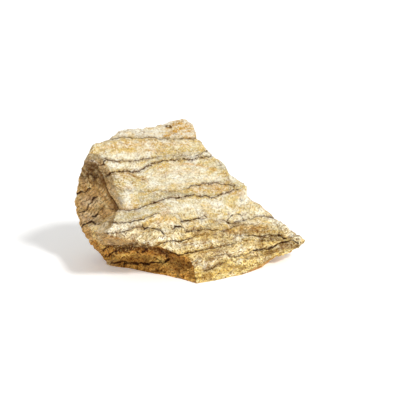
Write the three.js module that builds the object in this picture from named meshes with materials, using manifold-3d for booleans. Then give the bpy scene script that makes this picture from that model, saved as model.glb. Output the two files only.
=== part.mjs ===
// Rough picture jasper: one broken lump of banded jasper, lying on its flat underside.
// Millimetres. +X runs along its length, +Y away from its broad front face, +Z up.
// The origin is on the ground, in the middle of the lump's footprint box.

import * as THREE from 'three';
import { ConvexGeometry } from 'three/addons/geometries/ConvexGeometry.js';
import { ImprovedNoise } from 'three/addons/math/ImprovedNoise.js';
import { TessellateModifier } from 'three/addons/modifiers/TessellateModifier.js';
import { mergeVertices } from 'three/addons/utils/BufferGeometryUtils.js';
import Module from 'manifold-3d';

const wasm = await Module();
wasm.setup();

// The broad front face is one plane that turns to the right and leans back.
const faceTurn = 0.52; // mm back for each mm to the right
const faceLean = 0.6; // mm back for each mm up
const faceStart = -31; // Y of the face where X and Z are 0

const facetEdge = 5; // longest edge of a facet
const hollowDepth = 1.1; // how far the broken surface wanders
const hollowSize = 13; // distance from one hollow to the next
const chipDepth = 0.3; // the finer chips on top of the hollows
const chipSize = 6;
const groundFade = 8; // below this height the surface wanders less and less up and down
const weld = 0.001; // corners of a solid closer than this are one corner
const finest = 0.6; // details of a broken edge smaller than this are left out
const flatness = 0.06; // facets this close to one plane can share their sides anew

// A corner on the broad front face, and a corner anywhere.
const face = (x, z) => new THREE.Vector3(x, faceStart + faceTurn * x + faceLean * z, z);
const at = (x, y, z) => new THREE.Vector3(x, y, z);
// The corner that lies beyond a second one, seen from a first one.
const beyond = (from, to, share) => to.clone().lerp(from, -share);

// Corners that several blocks share.
const overhang = face(-41.5, 29.5); // the low left corner, which juts out over the base
const foot = face(4.5, 0); // the lowest front corner
const brow = face(0.5, 13); // where the underside meets the wall of the foot
const heel = at(-9.5, -19, 0); // the ground corner below the brow
const baseLeft = at(-40.5, -4, 0);
const rightTip = at(58.5, 4.5, 9);
const stepTop = face(-39.5, 55); // upper and lower end of the step between front and left flank
const stepEnd = face(-32.5, 39.5);
const recessTop = at(-44.5, -14.5, 50); // the back corners of the recess in the left flank
const recessFoot = at(-37.5, -18.5, 36);
const creaseMiddle = at(-44.5, -13, 27);
const creaseLeft = at(-56, -2, 21);
const flankTop = at(-55, -1, 49.5);

// The whole lump up to the highest parting, before anything is broken off it.
const body = [
  overhang, foot, face(27, 0), face(37, 2), face(46, 6), rightTip, face(42, 24),
  face(2, 64.5), face(-28, 68), face(-46.5, 69), face(-48.5, 66),
  at(36, -8, 0), at(41, 0, 0), at(38, 22, 0), at(-1, 33, 0), at(-33, 25, 0), baseLeft, at(-30, -10, 0), heel,
  at(-45, -4, 5), at(-51, -3, 11.5), at(-54, -1, 16.5), at(-56.5, -1, 24), at(-58, -1, 30),
  at(-56.5, -1, 40), flankTop, at(-51, -1, 55.5), at(-49.5, -1, 61),
  at(38, 24, 16), at(18, 24, 41), at(-2, 26, 58), at(-30, 21, 62), at(-44, 14, 58), at(-54, 12, 38),
  at(-43, 14, 3),
];

// The recess that sets the left flank back behind the front layers.
const recess = [
  recessTop, recessFoot, creaseMiddle, beyond(creaseMiddle, creaseLeft, 0.5),
  beyond(recessTop, flankTop, 0.6), beyond(recessTop, stepTop, 1.5), beyond(recessFoot, stepEnd, 1),
  beyond(creaseMiddle, overhang, 0.5), at(-70, -45, 15), at(-75, -25, 80),
];

// The hollow under the overhang, up to the wall of the foot.
const undercut = [
  beyond(brow, overhang, 0.4), brow, heel, beyond(heel, baseLeft, 0.4), beyond(brow, foot, 0.6),
  at(-70, -70, -5), at(-5, -70, 0), at(-60, -5, -20), at(-10, -18.5, -20), at(6, -40, -20),
];

// The bite out of the left end of the upper layer.
const bite = [
  face(-42.3, 63.6), face(-39.7, 55), at(-50.5, -8, 62.5), at(-50, -9, 54),
  at(-49, -34, 70), at(-64, -16, 68), at(-64, -16, 46), at(-42, -34, 50),
];

// The slip on the right edge, where the lower layers end short of the upper ones.
const slip = [
  face(27.5, 39.2), face(30, 32.8), face(39, 26.8), face(46, 36),
  at(24, 22, 38), at(26, 22, 31), at(34, 22, 24), at(44, 22, 34), at(46, -14, 44), at(56, -10, 26),
];

// The thin cap, which falls off behind, and the knob that stands up at its right end.
const cap = [
  at(-43.5, -11, 69), at(-28, -3, 68.3), at(-12, 3.5, 66.3), at(-38, -4, 69), at(-35.5, 0, 70.8),
  at(-32.5, 3, 71.6), at(-26, 5, 70.8), at(-17, 8, 70.8), at(-8, 11, 70), at(0, 10, 65.5),
  at(-41, 6, 62), at(-34, 12, 61), at(-8, 18, 60), at(-12, 2, 60), at(-38, -6, 60),
];
const knob = [
  at(-15, 2.5, 66.3), at(2, 9.2, 64.8), at(-19, 6, 70), at(-12, 11, 72), at(-6, 14.5, 73.2),
  at(-1, 15.5, 72.6), at(2, 15, 70), at(3, 12, 66), at(-2, 19, 58), at(-20, 14, 62), at(1, 15, 60),
];

// A manifold solid from a closed geometry.
function solid(geometry) {
  const bare = geometry.clone();
  bare.deleteAttribute('normal');
  bare.deleteAttribute('uv');
  const merged = mergeVertices(bare, weld);
  return new wasm.Manifold(new wasm.Mesh({
    numProp: 3,
    vertProperties: new Float32Array(merged.attributes.position.array),
    triVerts: new Uint32Array(merged.index.array),
  }));
}

// A solid block from its corners.
const block = (corners) => solid(new ConvexGeometry(corners));

// A three.js geometry from a manifold solid.
function geometryOf(manifold) {
  const mesh = manifold.getMesh();
  const geometry = new THREE.BufferGeometry();
  geometry.setAttribute('position', new THREE.BufferAttribute(mesh.vertProperties, mesh.numProp));
  geometry.setIndex(new THREE.BufferAttribute(mesh.triVerts, 1));
  return geometry;
}

// Turns the shared side of two triangles in one plane wherever that makes them less thin.
function turnSides(geometry) {
  const corners = geometry.attributes.position;
  const corner = (i) => new THREE.Vector3().fromBufferAttribute(corners, i);
  const triangles = [];
  for (let i = 0; i < geometry.index.count; i += 3) {
    const triangle = [0, 1, 2].map((k) => geometry.index.getX(i + k));
    if (new Set(triangle).size === 3) triangles.push(triangle);
  }
  const angleAt = (tip, a, b) => corner(a).sub(corner(tip)).angleTo(corner(b).sub(corner(tip)));
  const offPlane = (a, b, c, d) => {
    const [first, second] = [new THREE.Triangle(), new THREE.Triangle()];
    first.set(corner(a), corner(b), corner(c));
    second.set(corner(b), corner(a), corner(d));
    const [wide, other] = first.getArea() > second.getArea() ? [first, d] : [second, c];
    return Math.abs(wide.getPlane(new THREE.Plane()).distanceToPoint(corner(other)));
  };
  for (let pass = 0, turned = 1; pass < 30 && turned > 0; pass++) {
    turned = 0;
    const owner = new Map();
    triangles.forEach(([a, b, c], t) => [[a, b], [b, c], [c, a]].forEach((side) => owner.set(side.join(), t)));
    const changed = new Set();
    for (const [side, t] of owner) {
      const [a, b] = side.split(',').map(Number);
      const u = owner.get([b, a].join());
      if (a > b || changed.has(t) || changed.has(u)) continue;
      const c = triangles[t].find((i) => i !== a && i !== b);
      const d = triangles[u].find((i) => i !== a && i !== b);
      const thin = angleAt(c, a, b) + angleAt(d, a, b) > Math.PI + 0.01;
      if (!thin || owner.has([c, d].join()) || owner.has([d, c].join()) || offPlane(a, b, c, d) > flatness) continue;
      triangles[t] = [a, d, c];
      triangles[u] = [d, b, c];
      changed.add(t).add(u);
      turned++;
    }
  }
  return geometry.setIndex(triangles.flat());
}

// Splits the flat faces into even facets, halving their sides until they are short enough.
function facet(geometry) {
  let faceted = turnSides(mergeVertices(geometry, finest));
  for (let side = 8 * facetEdge; side >= facetEdge; side /= 2) {
    const split = new TessellateModifier(side, 12).modify(faceted.toNonIndexed());
    faceted = turnSides(mergeVertices(split, finest));
  }
  return faceted;
}

// Moves every corner by a smooth field of noise, so that flat faces turn into broken ones and
// facets never cross. The ground face stays flat.
function roughen(geometry) {
  const noise = new ImprovedNoise();
  const wander = (point, size, seed) => noise.noise(point.x / size + seed, point.y / size, point.z / size);
  const positions = geometry.attributes.position;
  const point = new THREE.Vector3();
  for (let i = 0; i < positions.count; i++) {
    point.fromBufferAttribute(positions, i);
    const [dx, dy, dz] = [11.3, 47.9, 83.1].map((seed) => (
      hollowDepth * wander(point, hollowSize, seed) + chipDepth * wander(point, chipSize, seed)));
    const rise = Math.min(1, point.z / groundFade);
    positions.setXYZ(i, point.x + dx, point.y + dy, point.z + dz * rise);
  }
  return geometry;
}

function buildStone() {
  let stone = block(body);
  for (const broken of [recess, undercut, bite, slip]) stone = stone.subtract(block(broken));
  for (const top of [cap, knob]) stone = stone.add(block(top));
  const geometry = roughen(facet(geometryOf(stone)));
  geometry.computeBoundingBox();
  const centre = geometry.boundingBox.getCenter(new THREE.Vector3());
  geometry.translate(-centre.x, -centre.y, 0);
  geometry.computeVertexNormals();
  const material = new THREE.MeshStandardMaterial({ color: 0xd8c08e, roughness: 0.85, metalness: 0 });
  const mesh = new THREE.Mesh(geometry, material);
  mesh.name = 'stone';
  return mesh;
}

const pictureJasper = new THREE.Group();
pictureJasper.add(buildStone());

export default pictureJasper;
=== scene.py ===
import bpy
import numpy as np
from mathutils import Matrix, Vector, noise


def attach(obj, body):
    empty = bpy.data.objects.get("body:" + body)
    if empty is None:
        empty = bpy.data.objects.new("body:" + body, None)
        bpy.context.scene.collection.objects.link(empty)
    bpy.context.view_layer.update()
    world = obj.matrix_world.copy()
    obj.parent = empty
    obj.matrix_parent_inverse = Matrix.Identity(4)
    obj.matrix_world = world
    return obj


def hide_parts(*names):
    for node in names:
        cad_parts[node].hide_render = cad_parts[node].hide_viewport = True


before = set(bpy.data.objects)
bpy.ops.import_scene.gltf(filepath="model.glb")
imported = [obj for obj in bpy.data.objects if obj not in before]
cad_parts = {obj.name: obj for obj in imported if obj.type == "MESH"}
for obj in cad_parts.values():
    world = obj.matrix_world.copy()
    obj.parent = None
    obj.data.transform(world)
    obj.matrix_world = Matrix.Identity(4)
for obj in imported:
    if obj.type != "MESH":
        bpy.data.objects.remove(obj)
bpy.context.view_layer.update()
noise.seed_set(4)       # the same stone every time
mm = 0.001

# The broad pale face is the plane y = start + turn * x + lean * z, in mm.
face = {"start": -30.0, "turn": 0.52, "lean": 0.6}

# Dark seams between the beds, from the sole up.
# line: x, z along the broad face in mm. ink: x, how dark the seam is there.
seams = [
    {"line": [(-60, 4.5), (8, 5), (12, 5.7), (17, 6.6), (25, 7), (36.5, 7), (48, 7.5), (60, 8)],
     "ink": [(-60, 0.3), (6, 0.1), (8, 0.8), (17, 0.8), (20, 0.1), (26, 0.1), (28, 0.6), (42, 0.6), (46, 0)]},
    {"line": [(-60, 9), (5, 10), (11, 10), (19, 10.5), (21, 9), (23, 8.5), (26, 8.4), (30, 9.4), (33, 9.6),
              (39, 10), (43, 10), (46, 10.9), (50, 11.4), (60, 11.4)],
     "ink": [(-60, 0.9), (0, 0.6), (5, 0.4), (20, 0.5), (22, 0.8), (31, 0.8), (33, 0.2), (60, 0.2)]},
    {"line": [(-60, 13.5), (-10, 15), (-5, 14), (8.5, 14), (16, 15), (20.5, 14.5), (25, 15.5), (30.5, 15),
              (38, 12.5), (60, 12)],
     "ink": [(-60, 0.8), (-14, 0.6), (-10, 1), (20, 0.9), (24, 0.3), (38, 0.3)]},
    {"line": [(-60, 17.5), (-17, 19), (-14, 20.5), (-11.5, 21), (-3, 20.3), (0, 20.5), (3.5, 21.2), (10, 20.8),
              (16, 19.2), (22, 18.3), (31, 17), (38, 15.4), (44.5, 14.8), (45.5, 15.1), (48, 13.4), (50, 11.8),
              (60, 11.8)],
     "ink": [(-60, 0.4), (-18, 0.5), (-17, 0.9), (2, 1.1), (5, 0.5), (18, 0.3), (25, 0.5), (30, 0.9),
             (50, 0.9)]},
    {"line": [(-60, 27), (-41, 29.2), (-34.5, 28.8), (-29, 29.7), (-22.5, 29.7), (-22, 28.1), (-19.5, 28),
              (-16.5, 27.4), (-15, 26.8), (-14.2, 25.1), (-13, 24.1), (-7, 25.9), (-3.5, 26), (-1.5, 24.2),
              (0, 23.6), (5, 23.5), (10, 22.9), (14.5, 22), (17.5, 21), (19.5, 21.3), (25.5, 22.4), (31, 21.7),
              (60, 18)],
     "ink": [(-60, 0.9), (-41, 0.8), (-38, 0.8), (-23, 0.9), (-22, 0.3), (-9, 0.3), (1, 0.9), (18, 0.9),
             (20, 0.6), (31, 0.5), (34, 0.15)]},
    {"line": [(-60, 31), (-39.5, 34), (-32.5, 32.6), (-29.5, 32.2), (-22, 32.5), (-17, 33.6), (-10, 32),
              (-4.5, 29.7), (-3.5, 28), (0, 28.3), (3.5, 28.7), (8.5, 27.4), (13, 26.1), (17.5, 25.8),
              (20.5, 23.7), (23, 23.6), (27, 24.1), (31.5, 24.9), (36.5, 24.7), (41.5, 23.4), (60, 20)],
     "ink": [(-60, 0.5), (-39, 0.9), (-18, 0.9), (-15, 0.2), (-6, 0.15), (-4, 0.7), (8, 0.6), (10, 0.25),
             (16, 0.3), (18, 0.9), (41, 0.8)]},
    {"line": [(-60, 39.5), (-37, 38.6), (-32, 37.8), (-28, 37.2), (-25.5, 37.4), (-22.5, 38.3), (-17.5, 39.1),
              (-12.5, 39.5), (-6, 39), (2.5, 38.9), (4, 37.9), (7.5, 38.1), (10, 37), (12, 36.9), (17, 37.8),
              (23, 38.3), (27, 39.5), (60, 44)],
     "ink": [(-60, 0.8), (-36, 0.7), (-27, 0.8), (-20, 1), (27, 1), (30, 0.2)]},
    {"line": [(-60, 53), (-40, 50.3), (-33.5, 46.6), (-29.5, 46.1), (-20, 44.2), (-16.5, 44), (-12.5, 42.7),
              (-6, 41.8), (-1.5, 42), (0.5, 42.8), (3, 43.1), (5, 42.5), (6.5, 43.6), (12.5, 43.2), (19, 41.3),
              (24, 39.2), (60, 45)],
     "ink": [(-60, 1), (-46, 0.9), (-41, 0.3), (-34, 0.35), (-16, 0.3), (-12, 0.4), (-3, 0.4), (0, 0.8),
             (22, 0.8), (26, 0)]},
    {"line": [(-60, 57), (-46, 57.5), (-43, 56), (-42, 54.5), (-40.5, 54), (-39.5, 55.2), (-32, 54.9),
              (-27, 53.9), (-23, 54.2), (-20, 55.3), (-18, 55.9), (-14, 56.5), (-10, 56.6), (-4.5, 56),
              (0.5, 55), (5, 55.1), (9.5, 54.8), (12, 55.2), (60, 58)],
     "ink": [(-60, 0.3), (-46, 0.6), (-42, 1.1), (-34, 1.1), (-14, 1), (12, 1), (14, 0.2)]},
    {"line": [(-60, 64), (-44, 61), (-41.5, 61.2), (-38, 59.8), (-35, 59.3), (-34, 59.7), (-28.5, 58.4),
              (-27, 58.9), (-22, 58.2), (-16, 58.6), (-10, 58.5), (-2.5, 57.2), (1.5, 56.1), (4, 56.1),
              (5.5, 56.6), (6.5, 57.4), (8.5, 57.9), (60, 61)],
     "ink": [(-60, 0.2), (-44, 0.5), (-41, 0.9), (-20, 0.8), (-15, 0.3), (0, 0.35), (2, 0.9), (8.5, 0.8),
             (10, 0)]},
    {"line": [(-60, 72), (-45, 69.6), (-34.5, 69.6), (-28.5, 68.8), (-20.5, 67.5), (-12.5, 66.3), (-7, 65.4),
              (0, 64.8), (2, 64.4), (60, 62)],
     "ink": [(-60, 0.4), (-46, 0.6), (-42, 0.8), (-8, 0.65), (4, 0.6), (8, 0.2)]},
]
seamCount = len(seams)
beds = {
    "dip": 0.30,            # how far the beds fall for each mm back into the stone
    "thinnest": 0.5,        # mm, where two seams run together
    "outer": 6.0,           # mm, under the lowest seam and over the highest
    "flankInk": 0.35,       # how dark the seams are on the weathered sides
    # how far each bed stands out in mm, from under the lowest seam to over the highest
    "proud": [0.1, -0.55, 0.4, -0.15, 0.35, -0.3, 0.3, -0.35, 0.15, 0.5, -0.1, -0.35],
    "step": 0.25,           # mm, half the height over which a bed steps out
    "jag": 2.2,             # mm, length of the short straight runs of each seam
    # the grain runs along these seams: number from the lowest, and its level in mm
    "guides": [(2, 14.5), (5, 29.0), (6, 38.5), (8, 55.5), (10, 65.5)],
}

# Cracks, and a few bands of painted shade in recesses: depth of the groove and half its width in mm, how dark it is,
# and its path on the surface in mm.
cracksAndShade = [
    # foot of the step left of the broad face: a groove whose darkness is painted shade in the recess
    (1.5, 1.5, 0.3, [(-45.5, -10, 50.5), (-43.9, -12.1, 47.4), (-42.3, -13.6, 44), (-40.1, -15.9, 41.1),
                     (-39, -17, 39.7), (-37.3, -18.7, 36.8), (-36.5, -21, 36)]),
    (0.7, 0.34, 1.3, [(-43.9, -12.1, 47.4), (-42.3, -13.6, 44), (-40.1, -15.9, 41.1), (-39, -17, 39.7),
                      (-37.3, -18.7, 36.8)]),
    # under the shoulder
    (0.5, 0.42, 1.2, [(-50.1, -8.7, 57.8), (-48.2, -8.2, 56.3), (-46.4, -9, 55.6), (-44.8, -10.9, 56.5),
                      (-43.4, -12.8, 57.9), (-42.3, -14.8, 59.1), (-41.8, -14.8, 60.9), (-41, -14.4, 61.2)]),
    (0.6, 0.5, 1, [(-39.6, -16.2, 54.9), (-40.7, -15.1, 52.9), (-42.3, -13.5, 51.6), (-42.8, -12.8, 54)]),
    # left flank
    (0.5, 0.42, 1.3, [(-57.6, 2, 36.8), (-55.5, -0.3, 39.3), (-53.6, -2.6, 39.5), (-52.9, -3.1, 40.6),
                      (-51.3, -4.5, 42.3), (-49.6, -6.2, 42.7)]),
    (0.2, 0.4, 0.35, [(-49.6, -6.2, 42.7), (-47.7, -8.2, 42.9), (-45.6, -10.3, 44.7)]),
    (0.35, 0.45, 1.2, [(-55.8, -2.1, 29.1), (-53.3, -4.6, 30), (-51.9, -5.5, 32), (-51.6, -5.4, 33.8),
                       (-50, -6.6, 35.6), (-49.5, -6.9, 37.1), (-47.3, -8.8, 38.8)]),
    (0.45, 0.48, 1.5, [(-49.6, -7.9, 28.3), (-48, -9.2, 28.5), (-46.4, -10.7, 30.7), (-44.7, -12.2, 32.8),
                       (-43.4, -13.4, 34.1)]),
    (0.4, 0.44, 1.5, [(-56.3, -0.6, 19.6), (-54.2, -4.5, 23), (-52.4, -6.1, 24.1), (-49.5, -8.3, 25.6),
                      (-47.5, -13, 25.4), (-46.2, -13.4, 25.8), (-44, -14.2, 28)]),
    # underside
    (0.8, 0.62, 1.5, [(-46, -9, 9), (-44, -11.5, 11), (-42.6, -14.3, 13.1), (-37.9, -18.4, 15.3),
                      (-34, -20, 16), (-30.3, -21.7, 17.4), (-26, -23, 17.2), (-21, -24, 16.8)]),
    (0.9, 0.62, 1.5, [(-45.5, -3.6, 4.6), (-42.5, -5.8, 5.5), (-39, -11.3, 9.3), (-36.9, -15, 12.1),
                      (-33.8, -16.6, 13.1), (-32, -16, 12.5), (-29.9, -14, 10.8), (-26.9, -14.5, 10.9),
                      (-24, -16.2, 11.7), (-21.9, -21.6, 15.4), (-19.9, -25.1, 18)]),
    # hollow under the overhang: a groove whose darkness is painted shadow of the overhang
    (0.9, 1.5, 0.5, [(-35.2, -18.4, 14.8), (-31.1, -19.7, 15.8), (-27, -21.7, 16.7), (-23, -23.3, 16.7),
                     (-19, -22.6, 15.4), (-15, -22.2, 14.4)]),
    # lower on the underside
    (0.45, 0.5, 1.2, [(-40.2, -4.1, 1.6), (-33.9, -6.4, 3.3), (-30.6, -7.6, 2.9), (-26.8, -9.5, 3.2)]),
    (1, 0.6, 1.2, [(-9.6, -19.8, 12), (-11.2, -18.4, 10.4), (-12, -17.4, 8.6), (-13.3, -16.6, 7.1)]),
    # dark line under the lower edge of the broad face
    (0.5, 0.5, 0.9, [(-26.7, -27.4, 21.2), (-22.8, -25.6, 18.9), (-18.9, -23.4, 16.3), (-15, -21.6, 14),
                     (-11.1, -20, 12), (-8.1, -18.7, 10.8)]),
    (0.4, 0.5, 0.8, [(-13.5, -16.5, 7.1), (-14.4, -16, 7.9), (-15.4, -15.5, 7.6), (-17.2, -14.7, 8.5),
                     (-19, -14, 8.2)]),
    (0.6, 0.55, 1.25, [(-34.5, -6.2, 2), (-31.8, -7.2, 3), (-28.3, -8.7, 3.7), (-25.6, -10.2, 4.5),
                       (-22, -12, 4.6), (-18.8, -14, 6.3), (-14.2, -16.1, 6.4)]),
    (0.6, 0.9, 0.5, [(-1.5, -21.7, 8.7), (-4.1, -20.8, 5.6), (-7.1, -19.9, 3.2), (-10.2, -18.1, 0.8)]),
    # faint line on the broad face
    (0.4, 0.45, 0.2, [(-29.8, 53.2), (-26, 51.2), (-21.6, 49.2)]),
    # stepped breaks on the broad face
    (0.5, 0.38, 1.35, [(-23.1, 30.7), (-22.7, 28.6), (-20.7, 28.5), (-18.1, 28.1), (-16.7, 27), (-15.4, 26.8),
                       (-14.1, 25.5), (-12.8, 24.4)]),
    (0.45, 0.36, 1.2, [(-8.2, 26.3), (-5.5, 26.8), (-3, 26), (-1.5, 24), (1.5, 23.4)]),
    (0.35, 0.33, 0.85, [(19.1, 26), (20.7, 27.3), (23.8, 27.6), (26.3, 26.8), (28, 24.7), (24.3, 24.4),
                        (21.7, 23.6), (19.7, 24.2), (19.1, 26)]),
    (0.35, 0.36, 1.1, [(-4.5, 28.7), (2.3, 28.5), (7.5, 29.3), (9, 27.8)]),
    # open gaps near the right tip
    (1, 0.36, 1.1, [(32.2, -7.3, 9.8), (34.7, -6.2, 9.9), (37.8, -4.9, 9.9), (41.2, -3, 9.7),
                    (43.3, -1.7, 10.3), (45.4, -0.1, 11.4), (51, 3.7, 11.3)]),
    (1, 0.6, 1.1, [(36, -5.5, 9.9), (41.2, -3, 9.8), (43.3, -1.7, 10.4), (46, 0.2, 11.3), (49.5, 2.6, 11.2)]),
    (0.8, 0.36, 0.95, [(44.9, 2.1, 15.5), (48, 2.9, 13.4), (51.5, 4, 11.3), (55.4, 4.6, 9.3)]),
    (0.3, 0.3, 0.6, [(34.7, -6.2, 9.9), (39.1, -5.1, 8.4), (45.8, -1.5, 8.6), (51.5, 1.6, 7.9),
                     (55.6, 4.2, 8.6)]),
    (0.3, 0.3, 0.45, [(43.4, 4.8, 20.8), (44.4, 4.6, 19.6), (45.4, 2.9, 16.1)]),
]

# Gentle pushes on the drawn shape, all in mm: the place, how far the push reaches, and its move in x, y, z.
pushes = [
    ((-17.5, 8.5, 70.5), 5, (0, 0, 1.2)),         # slope up to the knob
    ((-5, 13.5, 71.5), 6, (0.3, 0, 0.8)),         # knob
    ((-57, 2, 33), 8, (-1.8, 0, 0)),              # left edge
    ((57.5, 5, 9), 6, (3.5, 0.3, 0.2)),           # right tip
    ((-39.9, -5.6, 69.4), 4, (0.3, 0.3, -0.4)),   # low end of the cap
    ((-35.1, 1, 71), 3, (0.6, 0, 0.3)),           # and its step
    ((1.5, 9.5, 62.5), 7, (2.4, 0.3, 0)),         # right edge under the knob
    ((14, 7.6, 50), 4, (3, 0, 0)),
    ((34.2, 9.8, 27.8), 4, (1.2, 0, 0.6)),
    ((-57, -1, 26.5), 4, (1.6, -0.2, 0)),         # notch in the left edge
    ((24.5, 6.2, 39.5), 4, (1.9, 0, 0)),
    ((4.2, -23, 7), 4.5, (1.4, -0.2, 0)),         # front corner
    ((-48, -7.5, 52.5), 5, (1.1, 1.1, 0)),        # hollow under the shoulder
    ((-26, -28.5, 22.5), 5, (0, 0.6, 1.2)),       # lower edge of the broad face
    ((-10.5, -21.5, 13.5), 5, (0, 0, -1.6)),
]
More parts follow.
